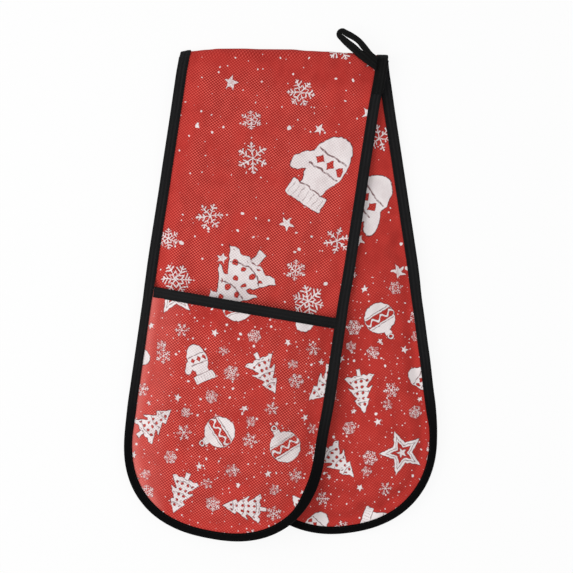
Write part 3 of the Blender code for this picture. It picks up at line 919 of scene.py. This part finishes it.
def tape_section(width, nose, low, high, rise):
    """Closed section of a tape folded over an edge: insets from that edge, and offsets.

    The outer face runs in from the upper lip, turns round the edge as a superellipse of the
    length nose, and runs out to the lower lip; the inner face comes back one thickness inside.
    Two soft creases stand along each flat face, and the stitching pinches it near its lip.
    """
    turn = np.linspace(math.pi / 2, -math.pi / 2, TAPE_ARC_STEPS + 1)
    power = 2 / TAPE_SQUARENESS
    width = width + 0 * low
    flat = nose + (width - nose) * np.linspace(1, 0, TAPE_FLAT_STEPS + 1)[:-1] ** TAPE_STEP_POWER
    round_edge = nose * (1 - np.cos(turn) ** power) + 0 * width
    inset = np.concatenate([flat, round_edge, flat[:, ::-1]], axis=1)
    level = np.concatenate([
        np.ones(TAPE_FLAT_STEPS),
        squared(np.sin(turn), power),
        -np.ones(TAPE_FLAT_STEPS),
    ])
    relief = sum(rise * np.exp(-(((inset - width * share) / CREASE_HALF) ** 2)) for share in TAPE_CREASES)
    relief -= STITCH_DIP * np.exp(-(((inset - width + STITCH_LINE) / CREASE_HALF) ** 2))
    relief -= TAPE_THICKNESS * 0.5 * smooth((inset - width + TAPE_THICKNESS / 2) / TAPE_THICKNESS * 2)
    middle, half = (low + high) / 2, (high - low) / 2
    outer = middle + (half + relief) * level
    inner_inset = TAPE_THICKNESS + inset * (1 - TAPE_THICKNESS / width)
    inner = middle + (half - TAPE_THICKNESS) * level
    steps = np.hypot(np.diff(inset, axis=1), nose * np.diff(level))
    across_tape = np.concatenate([0 * width, np.cumsum(steps, axis=1)], axis=1)
    insets, offsets, sides = (
        np.concatenate([out, back[:, ::-1]], axis=1)
        for out, back in ((inset, inner_inset), (outer, inner), (across_tape, across_tape))
    )
    return insets, offsets, sides


def tape(name, sections, place, finish, body=None):
    """Closed tape through like sections, with a flat cap on each end.  It is seated on its body."""
    count, corners = sections.shape[:2]
    faces = quads(count, corners, closed=True).tolist()
    faces += [list(range(corners)), list(range((count - 1) * corners, count * corners))]
    piece = mesh_object(name, sections, faces, place, finish)
    seat(piece, body)


def tape_finish(name, tint, worn, width, creased):
    """Black bias tape: fine threads on the slant, paler along its creases, and darker round a
    leg's end as painted shade.
    """
    bias, shader, place, run, side, inset = begin_finish(
        name, tint, 0.70, Sheen_Weight=0.01, Specular_IOR_Level=0.07
    )
    pitch = math.pi / TAPE_PITCH
    weave, _ = woven(((run + side) * pitch).sin(), ((run - side) * pitch).sin(), 0.5)
    patch = place.noise(60.0, 3.0)
    creases = [abs(inset - width * share).ramp(0.0002, 0.0012, 1.0, 0.0) for share in TAPE_CREASES]
    wear_and_highlight = reduce(Socket.most, creases) * patch.ramp(0.25, 0.65, 0.2, 0.7) * creased
    wear_and_highlight = wear_and_highlight + weave.ramp(0.7, 1.1) * 0.35
    # Painted shade: the tape darkens round the end of each leg and loses its paler creases there
    shaded_end = run.ramp(*SHADED_RUN) * (FRONT.run_round - run).ramp(*SHADED_RUN)
    feed(shader, "Base Color", (wear_and_highlight * (1 - shaded_end)).blend(shaded_end.blend(tint, TAPE_END_SHADE), worn))
    feed(shader, "Normal", bump(weave + patch * 0.5, 0.00012))
    feed(shader, "Roughness", 0.64 + patch * 0.2)
    return bias


# Run over which the tape darkens round a leg's end, as painted shade
SHADED_RUN = (0.26, 0.37)
TAPE_TINT = colour(19, 19, 20)
TAPE_WORN = colour(42, 42, 43)
# Colour of the painted shade round a leg's end
TAPE_END_SHADE = colour(3, 3, 4)
mouth_tape = tape_finish("mouth_tape", TAPE_TINT, TAPE_WORN, MOUTH_TAPE_WIDTH, 0.3)
MOUTH_STEPS = 150
MOUTH_NOSE = 0.0022
MOUTH_REACH = HALF_WIDTH - BINDING_WIDTH - PLY_GAP


def mouth_places(leg):
    """Places along the mouth: across, in from the outline, the run, and the tape's two faces."""
    across = np.linspace(-MOUTH_REACH, MOUTH_REACH, MOUTH_STEPS + 1)[:, None]
    inset = HALF_WIDTH - np.abs(across)
    run = leg.run_at(across, leg.mouth_row(across))
    low = pocket_start(inset, run) - TAPE_STEP
    return across, inset, run, low, pocket_outside(inset, run) + TAPE_STEP


for leg in LEGS:
    across, inset, run, low, high = mouth_places(leg)
    width = MOUTH_TAPE_WIDTH + TAPE_STEP
    depth, offset, side = tape_section(width, MOUTH_NOSE, low, high, MOUTH_CREASE)
    along = leg.mouth_row(across) - TAPE_STEP + depth
    sections = leg.points(across, along, inset, run, offset)
    name, place = f"{leg.name}_pocket_mouth_binding", points_of(across, side, depth)
    flat = (2 * MOUTH_TAPE_WIDTH + TAPE_TURNS, 2 * MOUTH_REACH)
    tape(name, sections, place, mouth_tape, f"{leg.name}_leg")

# Edge binding
# One length of black bias tape is folded over the whole edge of the strip and takes in the edge
# of each pocket.  It is stitched through near its lips, and split here at the crease.

edge_tape = tape_finish("edge_tape", TAPE_TINT, TAPE_WORN, BINDING_WIDTH, 0.5)
STRAP_NOSE = 0.0022
EDGE_SPACING = 0.0022
EDGE_END_ROWS = 110
EDGE_CREASE = 0.00006
WIDTH_CHANGE = 0.030
WIDE_EARLY = {"front": 0.050, "back": 0.0}
EDGE_WIDTHS = {
    "front": (0.0092, 0.0083, 0.0075, 0.0098, 0.0096),
    "back": (0.0092, 0.0080, 0.0071, 0.0093, 0.0098),
}


def edge_width(leg, run):
    """Width of the tape on one face: left strap, left pocket, end, right pocket, right strap."""
    wider_from = leg.run_round - leg.end_start - WIDE_EARLY[leg.name]
    changes = (leg.mouth, leg.end_start, wider_from, leg.run_round - leg.mouth)
    places = [change + end * WIDTH_CHANGE for change in changes for end in (-0.5, 0.5)]
    widths = EDGE_WIDTHS[leg.name]
    values = [width for pair in zip(widths, widths[1:]) for width in pair]
    return eased(run, places, values)


def edge_grid(leg, insets):
    return leg.grid(insets, round(leg.end_start / EDGE_SPACING), EDGE_END_ROWS)


def edge_faces(leg, across, along):
    """Levels of the binding's two faces; the second is higher from the pocket's mouth row on."""
    takes_pocket = smooth((along - leg.mouth_row(across) + BINDING_WIDTH) / BINDING_WIDTH)
    high = mix(BOUND_HALF, BOUND_POCKET, takes_pocket) + TAPE_STEP
    return np.full(high.shape, -BOUND_HALF - TAPE_STEP), high


def edge_binding(leg):
    """The tape round one leg."""
    probe_across, probe_along, _, probe_run = edge_grid(leg, [0.0])
    faces = edge_faces(leg, probe_across, probe_along)
    insets, offsets, side = tape_section(edge_width(leg, probe_run), STRAP_NOSE, *faces, EDGE_CREASE)
    across, along, inset, run = edge_grid(leg, insets)
    sections = leg.points(across, along, inset, run, offsets)
    name, place = f"{leg.name}_edge_binding", points_of(run, side, inset)
    tape(name, sections, place, edge_tape, f"{leg.name}_leg")


def fold_binding(name, side):
    """The tape where it turns round the crease on one side."""
    turn = np.linspace(0, math.pi, FOLD_STEPS + 1)[:, None]
    reach = BOUND_HALF + TAPE_STEP + 0 * turn
    width = EDGE_WIDTHS["front"][0 if side < 0 else -1]
    insets, offsets, over = tape_section(width, STRAP_NOSE, -reach, reach, EDGE_CREASE)
    sections = fold_points(side * (HALF_WIDTH - insets), FOLD_RADIUS + offsets, turn)
    tape(name, sections, points_of(-turn * FOLD_RADIUS, over, insets), edge_tape)


for leg in LEGS:
    edge_binding(leg)
fold_binding("fold_binding_left", -1)
fold_binding("fold_binding_right", 1)

# Lap of the binding
# The end of the binding tape is turned under and lapped over its start, on the front leg's right
# edge just below the fold.  The hanging loop is sewn in at its top.

LAP_START = 0.0010
LAP_LENGTH = 0.0315
LAP_EXTRA_WIDTH = 0.0006
LAP_DOME = 0.0022
LAP_STEPS = 40
LAP_HEM = 0.0005
HEM_RISES = (0.90, 0.04)
HEM_FALLS = (0.975, 0.025)
HEM_FALL = 0.8
# The lap, and the loop, take darker tints than the edge tape, as painted shade
LAP_SHADED_TINT = colour(12, 12, 12)
LAP_SHADED_WORN = colour(30, 30, 30)
lap_tape = tape_finish("lap_tape", LAP_SHADED_TINT, LAP_SHADED_WORN, BINDING_WIDTH, 0.6)


def binding_lap():
    """A second fold of tape round the first, its top edge domed and its lower end turned under."""
    width = BINDING_WIDTH + LAP_EXTRA_WIDTH + TAPE_STEP
    share = np.linspace(0, 1, LAP_STEPS + 1)[:, None]
    rises, falls = (smooth((share - start) / length) for start, length in (HEM_RISES, HEM_FALLS))
    reach = BOUND_HALF + 2 * TAPE_STEP + LAP_HEM * (rises - falls * HEM_FALL)
    insets, offsets, side = tape_section(width, STRAP_NOSE, -reach, reach, EDGE_CREASE)
    across = HALF_WIDTH + TAPE_STEP - insets
    dome = LAP_DOME * np.abs(2 * insets / width - 1) ** 3
    along = FRONT.crease_row(across) + LAP_START + dome * (1 - share) ** 8 + LAP_LENGTH * share
    inset = insets - TAPE_STEP
    sections = FRONT.points(across, along, inset, 0 * along, offsets)
    place = points_of(along, side, insets)
    tape("binding_lap", sections, place, lap_tape, "front_leg")


binding_lap()

# Stitching
# Black thread runs near the lips of the binding on both faces, and near the lip of each
# mouth tape, on both faces.

THREAD_RADIUS = 0.00022
STITCH_LENGTH = 0.0024
STITCH_PITCH = 0.0031
STITCH_SIDES = 6
STITCH_SHARES = np.array([0.0, 0.12, 0.35, 0.65, 0.88, 1.0])
STITCH_BOW = 1.3
STITCH_SINK = 0.7
STITCH_END = 0.02


def thread_finish():
    """Black polyester thread with a soft gloss and a fine twist."""
    thread, shader, _, run, side, _ = begin_finish(
        "black_thread", colour(14, 14, 15), 0.7, Specular_IOR_Level=0.15
    )
    twist = ((run * 9000.0) + (side * 6000.0)).sin()
    feed(shader, "Base Color", twist.ramp(-1.0, 1.0).blend(colour(8, 8, 9), colour(22, 22, 24)))
    feed(shader, "Normal", bump(twist, 0.00006))
    return thread


def stitches(name, lines, ups, finish):
    """A row of stitches along each line of points: low capsules, each bowed and sunk at its ends."""
    starts, ends, rises = [], [], []
    for line, up in zip(lines, ups):
        steps = np.linalg.norm(np.diff(line, axis=0), axis=1)
        run = np.concatenate([[0], np.cumsum(steps)])
        first = np.arange(STITCH_PITCH, run[-1] - STITCH_PITCH, STITCH_PITCH)
        for at, found in ((first, starts), (first + STITCH_LENGTH, ends)):
            found.append(np.stack([np.interp(at, run, line[:, axis]) for axis in range(3)], axis=1))
        rises.append(np.full(len(first), up))
    start, end = np.concatenate(starts), np.concatenate(ends)
    rise = np.concatenate(rises)[:, None] * np.array([0.0, 0.0, 1.0])
    heading = (end - start) / np.linalg.norm(end - start, axis=1, keepdims=True)
    beside = np.cross(rise, heading)
    share = STITCH_SHARES
    girth = THREAD_RADIUS * np.sqrt(np.clip(1 - (2 * share - 1) ** 6, STITCH_END, 1))
    bow = THREAD_RADIUS * (STITCH_BOW * np.sin(math.pi * share) - STITCH_SINK)
    turn = np.arange(STITCH_SIDES) * 2 * math.pi / STITCH_SIDES
    spine = mix(start[:, None], end[:, None], share[None, :, None]) + rise[:, None] * bow[None, :, None]
    ring = (
        beside[:, None, None] * np.cos(turn)[None, None, :, None]
        + rise[:, None, None] * np.sin(turn)[None, None, :, None]
    )
    points = spine[:, :, None] + ring * girth[None, :, None, None]
    count, rings = points.shape[:2]
    each = rings * STITCH_SIDES
    side_faces = quads(rings, STITCH_SIDES, closed=True)
    offsets = (np.arange(count) * each)[:, None, None]
    faces = (side_faces[None] + offsets).reshape(-1, 4).tolist()
    cap = np.arange(STITCH_SIDES)[None] + offsets[:, 0]
    faces += cap.tolist() + (cap + each - STITCH_SIDES).tolist()
    along = np.broadcast_to((share * STITCH_LENGTH)[None, :, None], points.shape[:3])
    round_it = np.broadcast_to((turn * THREAD_RADIUS)[None, None], points.shape[:3])
    place = np.stack([along, round_it, 0 * along], axis=-1)
    return mesh_object(name, points, faces, place, finish)


def edge_lines(leg):
    """Lines just over both faces of the binding, one stitch line in from its lips."""
    line = edge_width(leg, edge_grid(leg, [0.0])[-1]) - STITCH_LINE
    across, along, inset, run = edge_grid(leg, line)
    low, high = edge_faces(leg, across, along)
    return [leg.points(across, along, inset, run, offset)[:, 0] for offset in (high, low)]


def mouth_lines(leg):
    """Lines just over both faces of the mouth tape."""
    across, inset, run, low, high = mouth_places(leg)
    along = leg.mouth_row(across) + MOUTH_TAPE_WIDTH - STITCH_LINE
    return [leg.points(across, along, inset, run, offset)[:, 0] for offset in (high, low)]


thread = thread_finish()
for leg in LEGS:
    faces_up = (leg.side, -leg.side)
    for kind, lines in (("edge", edge_lines(leg)), ("mouth", mouth_lines(leg))):
        row = stitches(f"{leg.name}_{kind}_stitching", lines, faces_up, thread)
        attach(row, f"{leg.name}_leg")

# Hanging loop
# A length of the same tape, folded lengthwise into a narrow cord, is doubled back on itself and
# sewn in under the lap, so that the glove hangs from a hook.

LOOP_LENGTH = 0.0438
LOOP_THICKNESS = 0.0018
LOOP_AIM = math.radians(140.0)
LOOP_PLACES = (0.0, 0.004, 0.008, 0.0135, 0.018, 0.0235, 0.030, 0.035, 0.0388)
LOWER_INNER = (-0.0002, -0.0004, -0.0006, -0.0008, -0.0006, -0.0010, -0.0006, -0.0004, -0.0004)
LOWER_OUTER = (0.0053, 0.0059, 0.0063, 0.0065, 0.0064, 0.0061, 0.0060, 0.0055, 0.0047)
UPPER_INNER = (0.0001, 0.0002, 0.0003, 0.0004, 0.0014, 0.0028, 0.0021, 0.0006, 0.0005)
UPPER_OUTER = (0.0053, 0.0052, 0.0049, 0.0062, 0.0071, 0.0080, 0.0075, 0.0066, 0.0054)
LOOP_SOFTNESS = 0.0028
LOOP_SAMPLES = 9
LOOP_UNDER_LAP = 0.0014
LOOP_ROOT_REACH = 0.0056
LOOP_SIDE_STEPS = 48
LOOP_TIP_STEPS = 40
LOOP_SECTION_STEPS = 36
LOOP_SQUARENESS = 2.8
LOOP_CREASE = 0.00022
LOOP_CREASE_PLACES = (-0.36, 0.36)
LOOP_CREASE_HALF = 0.12
LOOP_TAPE_HALF = 0.0024
LOOP_TAPE_INSETS = (0.001, 0.005)


def flowing(place, places, values):
    """Soft curve near values at places: straight runs between them, averaged over a short reach."""
    reach = np.linspace(-LOOP_SOFTNESS, LOOP_SOFTNESS, LOOP_SAMPLES)
    return np.mean([np.interp(place + shift, places, values) for shift in reach], axis=0)


def hanging_loop():
    """The tape's path leaves its root, opens to an eye, turns round a blind end and comes back."""
    swing = next(joint for joint in frame["joints"] if joint["name"] == "loop_swing")
    lower_tip = (LOWER_INNER[-1] + LOWER_OUTER[-1]) / 2
    upper_tip = (UPPER_INNER[-1] + UPPER_OUTER[-1]) / 2
    tip_radius, tip_width = (lower_tip + upper_tip) / 2, LOWER_OUTER[-1] - LOWER_INNER[-1]
    straight = LOOP_LENGTH - tip_radius - tip_width / 2
    out = mix(-LOOP_UNDER_LAP, straight, np.linspace(0, 1, LOOP_SIDE_STEPS + 1))
    turn = np.linspace(math.pi / 2, -math.pi / 2, LOOP_TIP_STEPS + 1)[1:-1]
    lower_in, lower_out, upper_in, upper_out = (
        flowing(out, LOOP_PLACES, sides)
        for sides in (LOWER_INNER, LOWER_OUTER, UPPER_INNER, UPPER_OUTER)
    )
    forward = np.concatenate([out, straight + tip_radius * np.cos(turn), out[::-1]])
    lower, upper = (lower_in + lower_out) / 2, (upper_in + upper_out) / 2
    tip = (lower[-1] - upper[-1]) / 2 + (lower[-1] + upper[-1]) / 2 * np.sin(turn)
    sideways = np.concatenate([lower, tip, -upper[::-1]])
    widths = lower_out - lower_in, upper_out - upper_in
    tip_widths = mix(widths[0][-1], widths[1][-1], (1 - np.sin(turn)) / 2)
    width = np.concatenate([widths[0], tip_widths, widths[1][::-1]])[:, None]
    path = np.stack([forward, sideways], axis=1)
    heading = np.gradient(path, axis=0)
    heading /= np.linalg.norm(heading, axis=1, keepdims=True)
    beside = np.stack([-heading[:, 1], heading[:, 0]], axis=1)
    round_it = np.linspace(0, 2 * math.pi, LOOP_SECTION_STEPS + 1)[:-1]
    power = 2 / LOOP_SQUARENESS
    wide, tall = squared(np.cos(round_it), power), squared(np.sin(round_it), power)
    near = sum(np.exp(-(((wide - at) / LOOP_CREASE_HALF) ** 2)) for at in LOOP_CREASE_PLACES)
    plan = path[:, None] + beside[:, None] * (wide * width / 2)[..., None]
    root_line = math.pi / 2 - SPLAY - LOOP_AIM
    near_root = np.clip(1 - plan[..., 0] / LOOP_ROOT_REACH, 0, 1)
    plan[..., 0] += near_root * plan[..., 1] / math.tan(root_line)
    aim = np.array([math.cos(LOOP_AIM), math.sin(LOOP_AIM)])
    side = np.array([-aim[1], aim[0]])
    flat = plan[..., :1] * aim + plan[..., 1:] * side
    z = (tall * (LOOP_THICKNESS / 2 - LOOP_CREASE * near)) + 0 * plan[..., 0]
    sections = np.array(swing["pos_m"]) + np.concatenate([flat, z[..., None]], axis=-1)
    run = np.cumsum(np.linalg.norm(np.diff(path, axis=0, prepend=path[:1]), axis=1))[:, None]
    place = points_of(run, wide * LOOP_TAPE_HALF, mix(*LOOP_TAPE_INSETS, np.abs(wide)))
    # The loop takes the lap's darker finish, which is painted shade
    tape("hanging_loop", sections, place, lap_tape, "loop")


hanging_loop()

# Table, lamps and camera
# The glove lies on a plain white table, under a broad soft lamp and paler light all round, and is
# seen from straight above through a long lens.

FIELD_WIDTH = 0.5054
FIELD_MIDDLE = (0.00335, -0.00215)
GLOVE_HEIGHT = 0.012
LENS = 120.0
SENSOR = 36.0
TABLE_HALF = 3.0
TABLE_DROP = 0.0002
TABLE_GLOW = 0.90
WORLD_LIGHT = 0.55


def table():
    """White table; the camera and clear reflections see it near white, and shadows stay on it."""
    mesh = bpy.data.meshes.new("table")
    corners = [(-1, -1), (1, -1), (1, 1), (-1, 1)]
    mesh.from_pydata([(x * TABLE_HALF, y * TABLE_HALF, -TABLE_DROP) for x, y in corners], [], [(0, 1, 2, 3)])
    white = bpy.data.materials.new("white_table")
    white.use_nodes = True
    tree = white.node_tree
    shader = tree.nodes["Principled BSDF"]
    shader.inputs["Base Color"].default_value = (0.8, 0.8, 0.8, 1.0)
    shader.inputs["Roughness"].default_value = 0.9
    root = Socket(tree, None)
    rays = [root.node("LightPath", {}, {}, f"Is {kind} Ray") for kind in ("Camera", "Glossy", "Transmission")]
    glow = root.node("Emission", {}, {"Color": (1, 1, 1, 1), "Strength": 1.0})
    diffuse = Socket(tree, shader.outputs[0])
    mixed = root.node("MixShader", {}, {0: reduce(Socket.most, rays) * TABLE_GLOW, 1: diffuse, 2: glow})
    tree.links.new(mixed.end, tree.nodes["Material Output"].inputs["Surface"])
    mesh.materials.append(white)
    add_object("table", mesh)


def lamp(name, place, aim, size, power):
    """Square soft lamp at a place, turned to its aim."""
    light = bpy.data.lights.new(name, "AREA")
    light.shape = "SQUARE"
    light.size, light.energy = size, power
    made = add_object(name, light)
    made.location = place
    heading = Vector(aim) - Vector(place)
    made.rotation_euler = heading.to_track_quat("-Z", "Y").to_euler()


table()
lamp("key_lamp", (-1.4, 0.05, 1.2), (0, 0, 0), 1.5, 22.0)
lamp("fill_lamp", (0.9, 0.1, 1.8), (0, 0, 0), 1.6, 9.5)
world = bpy.data.worlds.new("studio")
world.use_nodes = True
world.node_tree.nodes["Background"].inputs["Color"].default_value = (1, 1, 1, 1)
world.node_tree.nodes["Background"].inputs["Strength"].default_value = WORLD_LIGHT
bpy.context.scene.world = world

camera = bpy.data.cameras.new("camera")
camera.lens, camera.sensor_width = LENS, SENSOR
camera.clip_end = 20.0
eye = add_object("camera", camera)
eye.location = (*FIELD_MIDDLE, GLOVE_HEIGHT + FIELD_WIDTH * LENS / SENSOR)
bpy.context.scene.camera = eye
bpy.context.scene.view_settings.view_transform = "Standard"
